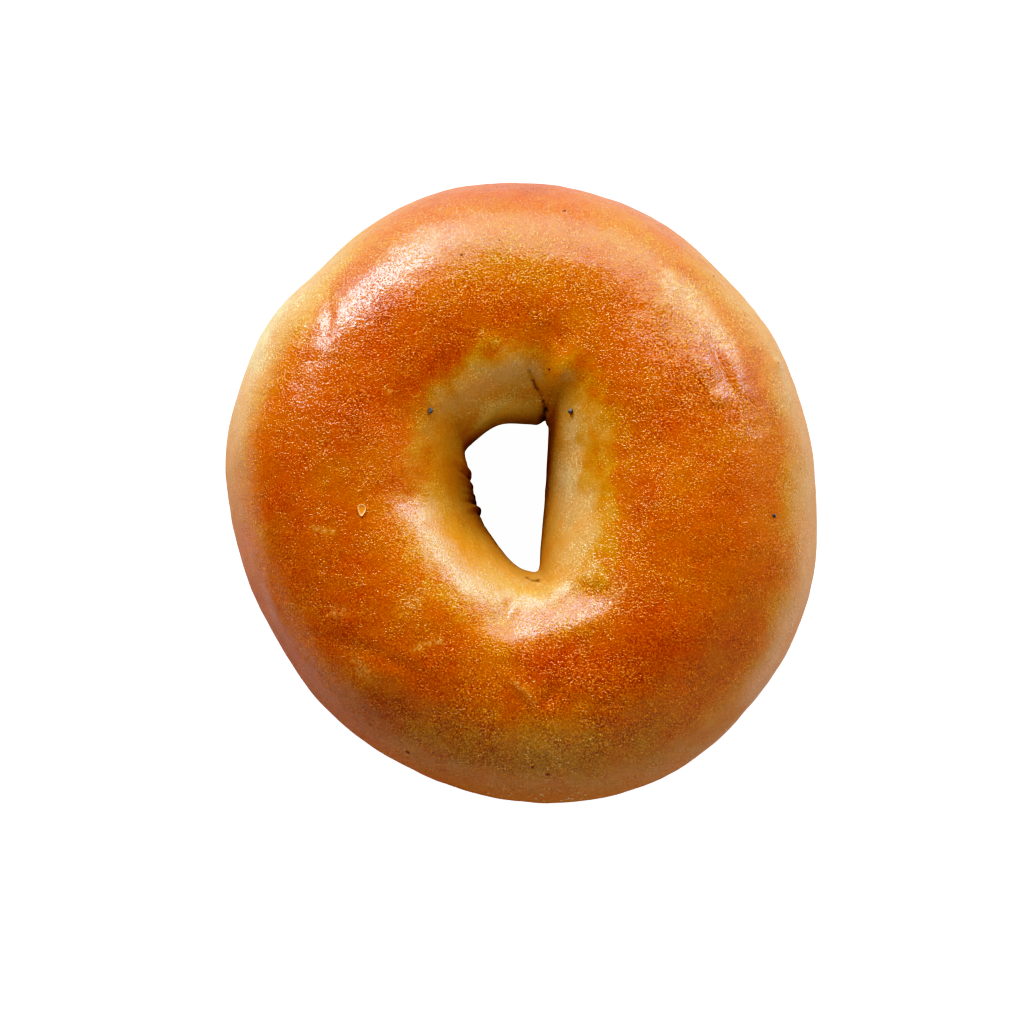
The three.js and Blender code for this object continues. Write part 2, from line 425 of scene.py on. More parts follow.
# Pale lines: scuff marks, and painted glints on wrinkles and ridges: start, bend, end, width, strength
SCUFF_AND_GLINT_LINES = (
    ((24.4, 34.5), (24.9, 31.5), (24.6, 28.5), 0.5, 0.8),
    ((23.5, 36.5), (30.5, 30.5), (35.6, 19.5), 1.0, 0.8),
    ((28.2, 34), (34.4, 27), (37.6, 18.5), 0.9, 0.6),
    ((28.8, 22), (30.4, 16.5), (33.6, 12.4), 0.7, 0.45),
    ((-2.1, -34.6), (0.6, -36.6), (2.8, -39.6), 0.3, 0.8),
    ((-36.2, -8.8), (-33.5, -10.2), (-31, -10), 0.5, 0.7),
    ((-19, -30.4), (-16, -28.6), (-12.6, -28.2), 0.6, 0.8),
    ((-32.4, 35), (-36.8, 29), (-38.4, 22), 0.6, 0.4),
    ((-23.4, 14.8), (-22.8, 14.2), (-22, 14), 0.4, 0.8),
    ((-23, -3.4), (-20, -4.4), (-16.4, -4), 0.8, 0.6),
)
# Pale spots, some scuff marks and some painted glints: x, y, long reach, wide reach, degrees turned,
# strength
SCUFF_AND_GLINT_PATCHES = (
    (-18.6, -22.2, 2.6, 1.6, 40, 0.5),
    (-30.8, -23.4, 1.7, 1.1, 0, 0.6),
    (-27.2, -33, 3.4, 1.4, -38, 0.6),
    (33.4, 12.2, 2, 1.4, 0, 0.35),
    (15.8, -20.6, 2.4, 1.4, 60, 0.6),
    (-2.6, 21.4, 2.6, 1.8, 20, 0.4),
)


def section_degrees(turn):
    """Degrees up the section from the outer waist. The lower outer side counts down from it."""
    lower_outside = (np.sin(turn) < 0) & (np.cos(turn) > 0)
    return np.degrees(turn) - 360 * lower_outside


def above_foot(turn):
    """1 on all that shows, fading to 0 on the underside."""
    return 1 - smoothstep(-np.sin(turn), *UNDERSIDE_SPAN)


# Browning, with painted shade and painted light at the hole's neck and in two patches
def browning_and_painted_light(place, angle, turn):
    degrees = section_degrees(turn)
    outer = OUTER_EDGE + swell_at(angle, OUTER_EDGE_SWELLS) + waves_at(place, OUTER_EDGE_WAVES)
    inner = INNER_EDGE + swell_at(angle, INNER_EDGE_SWELLS) + waves_at(place, INNER_EDGE_WAVES)
    outer_blend = OUTER_SOFTNESS + swell_at(angle, OUTER_SOFTNESS_SWELLS)
    outside = smoothstep(degrees, outer - outer_blend, outer + outer_blend)
    inner_blend = INNER_SOFTNESS + swell_at(angle, INNER_SOFTNESS_SWELLS)
    inside = smoothstep(degrees, inner - inner_blend, inner + inner_blend)
    side = SIDE_BROWNING + swell_at(angle, SIDE_SWELLS)
    hole = HOLE_BROWNING + swell_at(angle, HOLE_SWELLS)
    patches = sum(soft_form(place, patch) for patch in BROWNING_PATCHES)
    crest = CREST_BROWNING + patches + waves_at(place, CREST_WAVES)
    level = side + (crest - side) * outside
    level = level + (hole - level) * inside
    # The neck's painted shade, and painted light on its upper wall
    neck = smoothstep(degrees, *NECK_LIGHT_AND_SHADE_EDGE)
    level = level + (NECK_LIGHT_AND_SHADE_LEVEL + swell_at(angle, NECK_LIGHT_AND_SHADE_SWELLS) - level) * neck
    start = np.where(np.cos(turn) > 0, *FOOT_STARTS)
    foot = smoothstep(-np.sin(turn), start, start + FOOT_SPAN)
    return level + (FOOT_BROWNING + waves_at(place, FOOT_WAVES) - level) * foot


def dulling_and_painted_shade(place, angle, turn):
    """Up to 1 the skin is duller and greyer, with painted shade down in the hole, and from there to 2 it
    has painted shade in the creases.
    """
    degrees = section_degrees(turn)
    neck = NECK_DULL_AND_SHADE + swell_at(angle, NECK_DULL_AND_SHADE_SWELLS)
    dull_and_shade = np.clip(neck, 0, 1) * smoothstep(degrees, *NECK_DULL_AND_SHADE_EDGE)
    dull_and_shade = dull_and_shade + sum(soft_form(place, patch) for patch in DULL_PATCHES)
    # Painted shade along the seam's and the nick's creases
    for line in CREASE_SHADE_LINES:
        away, along = nearest_on_curve(place, *line)
        ragged = CREASE_SHADE_WIDTH + waves_at(place, CREASE_SHADE_WIDTH_WAVES)
        whole = smoothstep(waves_at(place, CREASE_SHADE_BREAKS), *CREASE_SHADE_BREAK_SPAN)
        broken = smoothstep(along, 0, CREASE_SHADE_RUN_IN) * whole
        crease_shade = broken * np.exp(-((away / ragged) ** 2)) * (degrees > CREASE_SHADE_FROM)
        dull_and_shade = np.maximum(dull_and_shade, dull_and_shade + (2 - dull_and_shade) * crease_shade)
    return np.clip(dull_and_shade, 0, 2) * above_foot(turn)


# Pale scuff marks and painted glints
def scuffs_and_painted_glints(place, turn):
    scuff_and_glint = sum(soft_form(place, patch) for patch in SCUFF_AND_GLINT_PATCHES)
    for start, bend, end, width, strength in SCUFF_AND_GLINT_LINES:
        away, along = nearest_on_curve(place, start, bend, end)
        run_out = smoothstep(along, 0, SCUFF_AND_GLINT_RUN_OUT) * smoothstep(1 - along, 0, SCUFF_AND_GLINT_RUN_OUT)
        scuff_and_glint = scuff_and_glint + strength * run_out * np.exp(-((away / width) ** 2))
    return np.clip(scuff_and_glint, 0, 1) * (np.sin(turn) > 0)


def sheen_tint_share(angle, turn):
    """The sides' share of the mauve-pink tint, a painted sheen."""
    side = 1 - smoothstep(section_degrees(turn), *SHEEN_TINT_EDGE)
    return np.clip(swell_at(angle, SHEEN_TINT_SWELLS), 0, 1) * side * above_foot(turn)


def mattness(place, turn):
    """The lower sides and the depth of the hole are matt; the crest is glazed."""
    degrees = section_degrees(turn)
    side = 1 - smoothstep(degrees, *MATT_SIDE_EDGE)
    patches = sum(soft_form(place, patch) for patch in MATT_PATCHES)
    return np.maximum(np.maximum(side, smoothstep(degrees, *MATT_NECK_EDGE)), patches)


def grain_strength(place, turn):
    """The browned crest has all of its grain, the hole's wall less and the lower sides least."""
    degrees = section_degrees(turn)
    sides = smoothstep(degrees, *GRAIN_SIDE_EDGE)
    wall = smoothstep(degrees, *GRAIN_WALL_EDGE)
    patches = sum(soft_form(place, patch) for patch in GRAIN_PATCHES)
    return SIDE_GRAIN + (1 - SIDE_GRAIN) * sides * (1 - WALL_GRAIN_LOSS * wall) + patches


def set_points(mesh, name, values):
    layer = mesh.attributes.new(name, "FLOAT", "POINT")
    layer.data.foreach_set("value", values.ravel().astype(np.float32))


def set_layout(mesh, columns, rows):
    """The flat layout for baking: once round the ring across, once round the section up."""
    column, row = np.meshgrid(np.arange(columns), np.arange(rows), indexing="ij")
    corners = [(column, row), (column + 1, row), (column + 1, row + 1), (column, row + 1)]
    shares = [np.stack([across / columns, up / rows], -1).reshape(-1, 2) for across, up in corners]
    layer = mesh.uv_layers.new(name="OFBake")
    layer.data.foreach_set("uv", np.stack(shares, 1).ravel().astype(np.float32))


def crust_grid():
    angle = np.arange(COLUMNS) * 360 / COLUMNS
    upper = (np.arange(UPPER_ROWS) + 0.5) * math.pi / UPPER_ROWS
    lower = math.pi + (np.arange(LOWER_ROWS) + 0.5) * math.pi / LOWER_ROWS
    return np.meshgrid(angle, np.concatenate([upper, lower]), indexing="ij")


def crust_mesh():
    angle, turn = crust_grid()
    places = crust_point(angle, turn)
    columns, rows = angle.shape
    low = places.reshape(-1, 3).min(0)
    high = places.reshape(-1, 3).max(0)
    middle = np.array([(low[0] + high[0]) / 2, (low[1] + high[1]) / 2, low[2]])
    column = np.arange(columns)[:, None]
    row = np.arange(rows)[None, :]
    near = column * rows + row
    far = (column + 1) % columns * rows + row
    far_next = (column + 1) % columns * rows + (row + 1) % rows
    near_next = column * rows + (row + 1) % rows
    faces = np.stack([near, far, far_next, near_next], -1).reshape(-1, 4)
    mesh = bpy.data.meshes.new("crust")
    mesh.from_pydata((places - middle).reshape(-1, 3) * MM, [], faces)
    mesh.polygons.foreach_set("use_smooth", np.ones(len(faces), bool))
    set_layout(mesh, columns, rows)
    set_points(mesh, "browning_and_painted_light", browning_and_painted_light(places, angle, turn))
    set_points(mesh, "grain", grain_strength(places, turn))
    set_points(mesh, "dull_and_shade", dulling_and_painted_shade(places, angle, turn))
    set_points(mesh, "sheen_tinted", sheen_tint_share(angle, turn))
    set_points(mesh, "scuff_glint_marks", scuffs_and_painted_glints(places, turn))
    set_points(mesh, "matt", mattness(places, turn))
    return mesh


# ---- Materials ----


def srgb(red, green, blue):
    """A colour given in 8-bit screen values, as the shader's linear numbers."""
    shares = (value / 255 for value in (red, green, blue))
    return tuple(v / 12.92 if v <= 0.04045 else ((v + 0.055) / 1.055) ** 2.4 for v in shares) + (1,)


def add(tree, kind, settings=None, **inputs):
    """A new node. An input's name has _ for each space; a value is linked if it is a socket."""
    node = tree.nodes.new(kind)
    for name, value in (settings or {}).items():
        setattr(node, name, value)
    for name, value in inputs.items():
        socket = node.inputs[int(name[1:]) if name[1:].isdigit() else name.replace("_", " ")]
        if isinstance(value, bpy.types.NodeSocket):
            tree.links.new(value, socket)
        else:
            socket.default_value = value
    return node


def maths(tree, operation, first, second=0.0, third=0.0):
    node = add(tree, "ShaderNodeMath", {"operation": operation}, _0=first, _1=second, _2=third)
    return node.outputs[0]


def vector(tree, operation, first, second=(0, 0, 0), scale=1.0):
    settings = {"operation": operation}
    return add(tree, "ShaderNodeVectorMath", settings, _0=first, _1=second, _3=scale).outputs[0]


def span(tree, value, low, high, to_low=0.0, to_high=1.0):
    settings = {"interpolation_type": "SMOOTHSTEP"}
    limits = {"From_Min": low, "From_Max": high, "To_Min": to_low, "To_Max": to_high}
    return add(tree, "ShaderNodeMapRange", settings, Value=value, **limits).outputs[0]


def noise(tree, vector, size, detail=2.0, roughness=0.5):
    """Noise with lumps of about the given size in millimetres, between 0 and 1."""
    inputs = {"Scale": 1 / (size * MM), "Detail": detail, "Roughness": roughness}
    return add(tree, "ShaderNodeTexNoise", None, Vector=vector, **inputs).outputs[0]


def attribute(tree, name):
    return add(tree, "ShaderNodeAttribute", {"attribute_name": name}).outputs["Fac"]


def blended(tree, share, first, second, mode="MIX"):
    settings = {"data_type": "RGBA", "blend_type": mode}
    node = add(tree, "ShaderNodeMix", settings, _0=share, _6=first, _7=second)
    return node.outputs[2]


def ramp(tree, value, stops):
    node = add(tree, "ShaderNodeValToRGB", None, Fac=value)
    elements = node.color_ramp.elements
    while len(elements) < len(stops):
        elements.new(0.5)
    for element, (place, colour) in zip(elements, stops):
        element.position = place
        element.color = colour
    return node.outputs["Color"]


# Browning level, colour
CRUST_STOPS = (
    (0.0, srgb(248, 216, 150)),
    (0.1, srgb(228, 170, 104)),
    (0.2, srgb(222, 158, 80)),
    (0.4, srgb(213, 137, 38)),
    (0.6, srgb(209, 111, 12)),
    (0.8, srgb(197, 88, 3)),
    (1.0, srgb(166, 64, 3)),
)
# The colour of the painted shade in the creases
CREASE_SHADE_COLOUR = srgb(104, 70, 26)
# The pale colour of scuff marks and painted glints, and how it breaks up
SCUFF_AND_GLINT_COLOUR = srgb(255, 192, 122)
SCUFF_AND_GLINT_SIZE = 0.7
SCUFF_AND_GLINT_EDGES = (0.36, 0.6)
SCUFF_AND_GLINT_SHARE = 0.6
# Broad mottling: its size, and how far it shifts the browning
MOTTLE_SIZE = 4.0
MOTTLE = 0.3
# The crust's tint wanders between a redder and a yellower brown.
TINT_SIZE = 5.0
TINT_EDGES = (0.36, 0.64)
REDDER = (1.0, 0.9, 0.72, 1)
YELLOWER = (0.95, 1.0, 0.92, 1)
# The grain is fine noise with small round blisters on it, and it gathers in clusters.
GRAIN_SIZE = 0.31
GRAIN_POWER = 1.6
GRAIN_CONTRAST = 2.6
GRAIN_MIDDLE = 0.98
BLISTER_GAP = 0.42
BLISTER_EDGES = (0.5, 0.15)
BLISTER_DRAWS = (0.2, 0.9)
BLISTER_STRENGTH = 1.1
CLUSTER_SIZE = 3.6
CLUSTER_EDGES = (0.35, 0.65)
CLUSTER_STRENGTHS = (0.65, 1.4)
# A raised speck is less browned and paler than the gaps round it, and smoother.
SPECK_BROWNING = -0.13
SPECK_PALENESS = 0.27
CRUST_SHADE = 0.88
SPECK_LIMITS = (-0.8, 0.8)
SPECK_ROUGHNESS = (0.2, 0.12)
MATT_ROUGHNESS = 0.45
# The skin's fine wrinkles and the bubbles of the grain, as a bump
WRINKLE_SIZE = 1.1
WRINKLE_HEIGHT = 1.2
BUBBLE_EDGES = (0.5, 0.74)
BUBBLE_HEIGHT = 0.7
BUMP_HEIGHT = 0.065
# Tiny facets of the crust lean this way and that.
LEAN_SIZE = 0.31
LEAN = 0.36
# How strongly the glazed skin reflects, where plain skin has 0.5
GLAZE = 0.68


def crust_grain(tree, place, strength):
    """The noise under the grain, and its specks: below 0 in the gaps, above 0 on the blisters."""
    grain = noise(tree, place, GRAIN_SIZE, 0.9, 0.5)
    cells = add(tree, "ShaderNodeTexVoronoi", None, Vector=place, Scale=1 / (BLISTER_GAP * MM))
    draw = add(tree, "ShaderNodeSeparateColor", None, Color=cells.outputs["Color"]).outputs["Red"]
    raised = span(tree, cells.outputs["Distance"], *BLISTER_EDGES)
    blister = maths(tree, "MULTIPLY", raised, span(tree, draw, *BLISTER_DRAWS))
    peaks = maths(tree, "POWER", grain, GRAIN_POWER)
    speck = maths(tree, "MULTIPLY_ADD", peaks, GRAIN_CONTRAST, -GRAIN_MIDDLE)
    speck = maths(tree, "MULTIPLY_ADD", blister, BLISTER_STRENGTH, speck)
    return grain, maths(tree, "MULTIPLY", speck, strength)


def crust_colour(tree, place, speck):
    """The browned colour with its mottling and specks, then greyed with painted shade in the hole and the
    creases, tinted, given a painted mauve sheen on the lower sides, and given pale scuff marks and painted
    glints.
    """
    mottle = maths(tree, "SUBTRACT", noise(tree, place, MOTTLE_SIZE, 4.0, 0.6), 0.5)
    mottled = maths(tree, "MULTIPLY", attribute(tree, "grain"), MOTTLE)
    level = maths(tree, "MULTIPLY_ADD", mottle, mottled, attribute(tree, "browning_and_painted_light"))
    level = maths(tree, "MULTIPLY_ADD", speck, SPECK_BROWNING, level)
    colour = ramp(tree, level, CRUST_STOPS)
    # Dulling and painted shade down in the hole, then painted shade along the creases
    dull_and_shade = attribute(tree, "dull_and_shade")
    greyed_and_shaded = blended(tree, 1.0, colour, DULL_AND_SHADE_TINT, "MULTIPLY")
    colour = blended(tree, maths(tree, "MINIMUM", dull_and_shade, 1.0), colour, greyed_and_shaded)
    crease_shade = maths(tree, "SUBTRACT", dull_and_shade, 1.0)
    colour = blended(tree, maths(tree, "MAXIMUM", crease_shade, 0.0), colour, CREASE_SHADE_COLOUR)
    wander = span(tree, noise(tree, place, TINT_SIZE, 3.0, 0.55), *TINT_EDGES)
    colour = blended(tree, 1.0, colour, blended(tree, wander, REDDER, YELLOWER), "MULTIPLY")
    # A mauve-pink tint on the lower sides: painted sheen
    sheen_tinted = blended(tree, 1.0, colour, SHEEN_TINT, "MULTIPLY")
    colour = blended(tree, attribute(tree, "sheen_tinted"), colour, sheen_tinted)
    # Pale scuff marks and painted glints
    scuff_glint_breakup = span(tree, noise(tree, place, SCUFF_AND_GLINT_SIZE, 2.0, 0.6), *SCUFF_AND_GLINT_EDGES)
    scuff_glint_marks = maths(tree, "MULTIPLY", attribute(tree, "scuff_glint_marks"), scuff_glint_breakup)
    colour = blended(tree, maths(tree, "MULTIPLY", scuff_glint_marks, SCUFF_AND_GLINT_SHARE), colour, SCUFF_AND_GLINT_COLOUR)
    paleness = maths(tree, "MULTIPLY_ADD", speck, SPECK_PALENESS, CRUST_SHADE)
    return vector(tree, "SCALE", colour, scale=paleness)


def crust_normal(tree, place, grain, strength):
    wrinkle = noise(tree, place, WRINKLE_SIZE, 3.0, 0.6)
    bubbles = span(tree, grain, *BUBBLE_EDGES)
    bubbles = maths(tree, "MULTIPLY", bubbles, maths(tree, "MULTIPLY", strength, BUBBLE_HEIGHT))
    height = maths(tree, "MULTIPLY_ADD", wrinkle, WRINKLE_HEIGHT, bubbles)
    bump = add(tree, "ShaderNodeBump", None, Height=height, Strength=1.0, Distance=BUMP_HEIGHT * MM)
    facets = add(tree, "ShaderNodeTexNoise", None, Vector=place, Scale=1 / (LEAN_SIZE * MM), Detail=1.0)
    lean = vector(tree, "SUBTRACT", facets.outputs["Color"], (0.5, 0.5, 0.5))
    lean = vector(tree, "SCALE", lean, scale=maths(tree, "MULTIPLY", strength, LEAN))
    return vector(tree, "NORMALIZE", vector(tree, "ADD", bump.outputs["Normal"], lean))


def crust_material():
    material = bpy.data.materials.new("crust")
    material.use_nodes = True
    tree = material.node_tree
    shader = tree.nodes["Principled BSDF"]
    shader.inputs["Specular IOR Level"].default_value = GLAZE
    place = add(tree, "ShaderNodeTexCoord").outputs["Object"]
    clusters = noise(tree, place, CLUSTER_SIZE, 3.0, 0.6)
    clusters = span(tree, clusters, *CLUSTER_EDGES, *CLUSTER_STRENGTHS)
    strength = maths(tree, "MULTIPLY", attribute(tree, "grain"), clusters)
    grain, speck = crust_grain(tree, place, strength)
    tree.links.new(crust_colour(tree, place, speck), shader.inputs["Base Color"])
    smoother = span(tree, speck, *SPECK_LIMITS, *SPECK_ROUGHNESS)
    roughness = maths(tree, "MULTIPLY_ADD", attribute(tree, "matt"), MATT_ROUGHNESS, smoother)
    tree.links.new(roughness, shader.inputs["Roughness"])
    tree.links.new(crust_normal(tree, place, grain, strength), shader.inputs["Normal"])
    return material


def link(thing):
    bpy.context.scene.collection.objects.link(thing)
    return thing


crust = link(bpy.data.objects.new("crust", crust_mesh()))
crust.data.materials.append(crust_material())
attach(crust, "root")
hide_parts("bagel")

# ---- Small things on the crust ----

# Sizes are long, wide and high.
SEED_SIZE = (1.05, 0.85, 0.8)
SEED_LIFT = 0.22
# x, y, degrees spun, scale
SEEDS = ((-15.5, 11.1, 20, 1.0), (8.7, 11.5, 110, 1.0), (43.0, -7.2, 60, 0.7))
CHAR_SIZE = (0.5, 0.36, 0.2)
CHAR_LIFT = 0.02
CHARS = (
    (7.6, 46.6, 30, 1.2),
    (-3.7, 40.5, 80, 0.7),
    (-10.2, 37.8, 10, 1.0),
    (4.9, 18.4, 50, 0.8),
    (33.6, 35.7, 0, 0.8),
    (44.7, 20.5, 0, 0.7),
    (-12.6, -22.3, 15, 0.6),
    (-0.4, 27.5, 70, 0.6),
)
BROWN_SIZE = (0.75, 0.6, 0.2)
BROWN_LIFT = 0.0
BROWNS = ((4.6, -50.8, 20, 1.1), (2.0, -49.6, 70, 0.9), (-19.4, -46.8, 0, 1.0), (-25.8, -42.2, 40, 0.8))
CRUMB_SIZE = (0.62, 0.5, 0.42)
# How many crumbs, their directions from the middle, how high they lie, their lift and the random seed
RIM_CRUMBS = (40, (264, 282), (19, 25.5), -0.08, 51)
FOOT_CRUMBS = (90, (0, 360), (0.6, 2.2), 0.0, 52)
CRUMB_SCALES = (0.5, 1.0)
# Rays that find the crust start well outside it, at this height or distance.
RAY_HEIGHT = 80
RAY_DISTANCE = 90
# A small form is made uneven by waves of this length and share, with a random seed of its own.
UNEVEN_LENGTH = 1.5
UNEVEN_SHARE = 0.07
FIRST_SEED = 40
# The nick in a poppy seed: its depth, reach along and reach across, as shares of the seed's radius
NICK_DEPTH = 0.3
NICK_ALONG = 0.4
NICK_ACROSS = 0.6
crust_tree = BVHTree.FromObject(crust, bpy.context.evaluated_depsgraph_get())


def round_form():
    """Points and faces of a ball of radius 1."""
    ball = bmesh.new()
    bmesh.ops.create_icosphere(ball, subdivisions=3, radius=1)
    points = np.array([vertex.co[:] for vertex in ball.verts])
    faces = np.array([[vertex.index for vertex in face.verts] for face in ball.faces])
    ball.free()
    return points, faces


def grain_form(points, size, seed):
    """A rounded grain, made uneven."""
    uneven = 1 + UNEVEN_SHARE * wavy(points, UNEVEN_LENGTH, seed)
    return points * uneven[:, None] * np.array(size) / 2


def seed_form(points, size, seed):
    """A kidney-shaped seed, with a nick in one side."""
    along = points[:, 0] / NICK_ALONG
    across = (points[:, 1] - 1) / NICK_ACROSS
    nick = NICK_DEPTH * np.exp(-(along**2) - across**2)
    return grain_form(points * (1 - nick[:, None]), size, seed)


def lying(form, size, spots):
    """Copies of a small form, each set on the crust at a spot: place, outward direction, spin, scale."""
    points, faces = round_form()
    all_points = []
    all_faces = []
    for at, (place, outward, spun, scale) in enumerate(spots):
        shape = form(points, size, FIRST_SEED + at) * scale
        turned = outward.to_track_quat("Z", "Y") @ Quaternion((0, 0, 1), math.radians(spun))
        matrix = np.array(turned.to_matrix())
        all_points.append(shape @ matrix.T * MM + np.array(place))
        all_faces.append(faces + at * len(points))
    return np.concatenate(all_points), np.concatenate(all_faces)


def on_top(spots, lift):
    """Spots given from above by x and y, set on the crust and raised a little."""
    found = []
    for x, y, spun, scale in spots:
        place, outward, _, _ = crust_tree.ray_cast(Vector((x, y, RAY_HEIGHT)) * MM, Vector((0, 0, -1)))
        found.append((place + outward * lift * scale * MM, outward, spun, scale))
    return found


def around(count, directions, heights, lift, seed):
    """Random spots on the sides, between two directions and two heights."""
    draw = np.random.default_rng(seed)
    found = []
    for _ in range(count):
        angle = math.radians(draw.uniform(*directions))
        inward = Vector((-math.cos(angle), -math.sin(angle), 0))
        start = (inward * -RAY_DISTANCE + Vector((0, 0, draw.uniform(*heights)))) * MM
        place, outward, _, _ = crust_tree.ray_cast(start, inward)
        scale = draw.uniform(*CRUMB_SCALES)
        found.append((place + outward * lift * scale * MM, outward, draw.uniform(0, 360), scale))
    return found


def small_things(name, parts, material):
    points, faces = parts
    mesh = bpy.data.meshes.new(name)
    mesh.from_pydata(points, [], faces.tolist())
    mesh.polygons.foreach_set("use_smooth", np.ones(len(faces), bool))
    mesh.materials.append(material)
    thing = link(bpy.data.objects.new(name, mesh))
    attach(thing, "root")


SPECKLE_EDGES = (0.35, 0.65)
# The pale parts are this share as rough as the dark ones.
PALE_ROUGHNESS = 0.7


def speckled(name, dark, pale, roughness, size, depth):
    """A material mottled between two colours, with pits of the given size and depth."""
    material = bpy.data.materials.new(name)
    material.use_nodes = True
    tree = material.node_tree
    shader = tree.nodes["Principled BSDF"]
    place = add(tree, "ShaderNodeTexCoord").outputs["Object"]
    share = span(tree, noise(tree, place, size, 2.0, 0.5), *SPECKLE_EDGES)
    tree.links.new(blended(tree, share, dark, pale), shader.inputs["Base Color"])
    smoother = span(tree, share, 0, 1, roughness, roughness * PALE_ROUGHNESS)
    tree.links.new(smoother, shader.inputs["Roughness"])
    cells = add(tree, "ShaderNodeTexVoronoi", None, Vector=place, Scale=1 / (size * MM))
    bump = add(tree, "ShaderNodeBump", None, Height=cells.outputs["Distance"], Distance=depth * MM)
    tree.links.new(bump.outputs["Normal"], shader.inputs["Normal"])
    return material


seed_skin = speckled("seed", srgb(44, 48, 60), srgb(112, 116, 130), roughness=0.5, size=0.16, depth=0.05)
char = speckled("char", srgb(34, 18, 10), srgb(84, 40, 16), roughness=0.5, size=0.2, depth=0.03)
brown = speckled("brown", srgb(120, 40, 18), srgb(160, 66, 30), roughness=0.4, size=0.3, depth=0.03)
crumb = speckled("crumb", srgb(196, 138, 62), srgb(248, 222, 170), roughness=0.3, size=0.4, depth=0.05)
small_things("poppy_seeds", lying(seed_form, SEED_SIZE, on_top(SEEDS, SEED_LIFT)), seed_skin)
small_things("char_specks", lying(grain_form, CHAR_SIZE, on_top(CHARS, CHAR_LIFT)), char)
small_things("brown_specks", lying(grain_form, BROWN_SIZE, on_top(BROWNS, BROWN_LIFT)), brown)
crumb_spots = around(*RIM_CRUMBS) + around(*FOOT_CRUMBS)
small_things("crumbs", lying(grain_form, CRUMB_SIZE, crumb_spots), crumb)

# A flake of skin with a pale rim round a browner middle
FLAKE_SPOT = (-26.9, -6.7)
FLAKE_LIFT = 0.12
FLAKE_LONG = 2.0
FLAKE_WIDE = 1.3
FLAKE_RINGS = 10
FLAKE_SIDES = 36
# How much wider it is at its north end than in the middle, and how uneven its outline is
FLAKE_DROP = 0.35
FLAKE_UNEVEN = 0.05
FLAKE_LOBES = 3
# The rings go out over part of an arc, past its widest, so that the rim turns under.
FLAKE_ARC = math.pi / 1.7
# The curl stands this high, at this share of the way out, over this spread. Then the rim drops.
FLAKE_CURL = (0.2, 0.72, 0.2)
FLAKE_TUCK = 0.3
FLAKE_TUCK_FROM = 0.85


def flake_mesh():
    """A drop-shaped flake, point to the south: its rim curls up and tucks under into the crust."""
    rings = np.linspace(0, 1, FLAKE_RINGS)[1:, None]
    angles = np.arange(FLAKE_SIDES)[None, :] * 2 * math.pi / FLAKE_SIDES
    uneven = 1 + FLAKE_UNEVEN * np.sin(FLAKE_LOBES * angles + 1)
    reach = np.sin(rings * FLAKE_ARC) / math.sin(FLAKE_ARC) * uneven
    x = reach * np.cos(angles) * FLAKE_WIDE / 2 * (1 + FLAKE_DROP * np.sin(angles))
    y = reach * np.sin(angles) * FLAKE_LONG / 2
    curl_height, curl_at, curl_spread = FLAKE_CURL
    curl = curl_height * np.exp(-(((rings - curl_at) / curl_spread) ** 2))
    z = curl - FLAKE_TUCK * smoothstep(rings, FLAKE_TUCK_FROM, 1) + 0 * angles
    points = np.stack([x, y, z], -1).reshape(-1, 3)
    points = np.concatenate([points, [[0, 0, 0]]]) * MM
    middle = len(points) - 1
    faces = [(middle, side, (side + 1) % FLAKE_SIDES) for side in range(FLAKE_SIDES)]
    for ring in range(FLAKE_RINGS - 2):
        for side in range(FLAKE_SIDES):
            following = (side + 1) % FLAKE_SIDES
            near = ring * FLAKE_SIDES
            far = near + FLAKE_SIDES
            faces.append((near + side, far + side, far + following, near + following))
    mesh = bpy.data.meshes.new("flake")
    mesh.from_pydata(points, [], faces)
    mesh.polygons.foreach_set("use_smooth", np.ones(len(faces), bool))
    set_points(mesh, "rim", np.append(np.repeat(rings, FLAKE_SIDES), 0))
    return mesh


FLAKE_MIDDLE_COLOUR = srgb(214, 128, 44)
FLAKE_RIM_COLOUR = srgb(244, 178, 120)
FLAKE_RIM_EDGES = (0.35, 0.6)
FLAKE_ROUGHNESS = (0.3, 0.5)
# The rim's inner edge wanders: how coarsely and how far
FLAKE_WANDER_SIZE = 0.3
FLAKE_WANDER = 0.4


def flake_material():
    material = bpy.data.materials.new("flake")
    material.use_nodes = True
    tree = material.node_tree
    shader = tree.nodes["Principled BSDF"]
    place = add(tree, "ShaderNodeTexCoord").outputs["Object"]
    wander = noise(tree, place, FLAKE_WANDER_SIZE)
    wander = maths(tree, "MULTIPLY_ADD", wander, FLAKE_WANDER, -FLAKE_WANDER / 2)
    rim = maths(tree, "ADD", attribute(tree, "rim"), wander)
    share = span(tree, rim, *FLAKE_RIM_EDGES)
    colour = blended(tree, share, FLAKE_MIDDLE_COLOUR, FLAKE_RIM_COLOUR)
    tree.links.new(colour, shader.inputs["Base Color"])
    tree.links.new(span(tree, rim, 0, 1, *FLAKE_ROUGHNESS), shader.inputs["Roughness"])
    return material


flake = link(bpy.data.objects.new("flake", flake_mesh()))
flake.data.materials.append(flake_material())
((flake_place, flake_up, _, _),) = on_top([(*FLAKE_SPOT, 0, 1)], FLAKE_LIFT)
flake.location = flake_place
flake_east = Vector((0, 1, 0)).cross(flake_up).normalized()
flake_turned = Matrix((flake_east, flake_up.cross(flake_east), flake_up)).transposed()
flake.rotation_euler = flake_turned.to_euler()
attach(flake, "root")

# ---- Studio ----

# The picture is 1024 pixels wide, and the bagel's 110 mm are 621 of them.
PICTURE_PIXELS = 1024
MM_PER_PIXEL = 110 / 621
LENS = 100
SENSOR = 36
VIEW_ELEVATION = 82
VIEW_AIM = (-1.51, -3.72, 15.0)


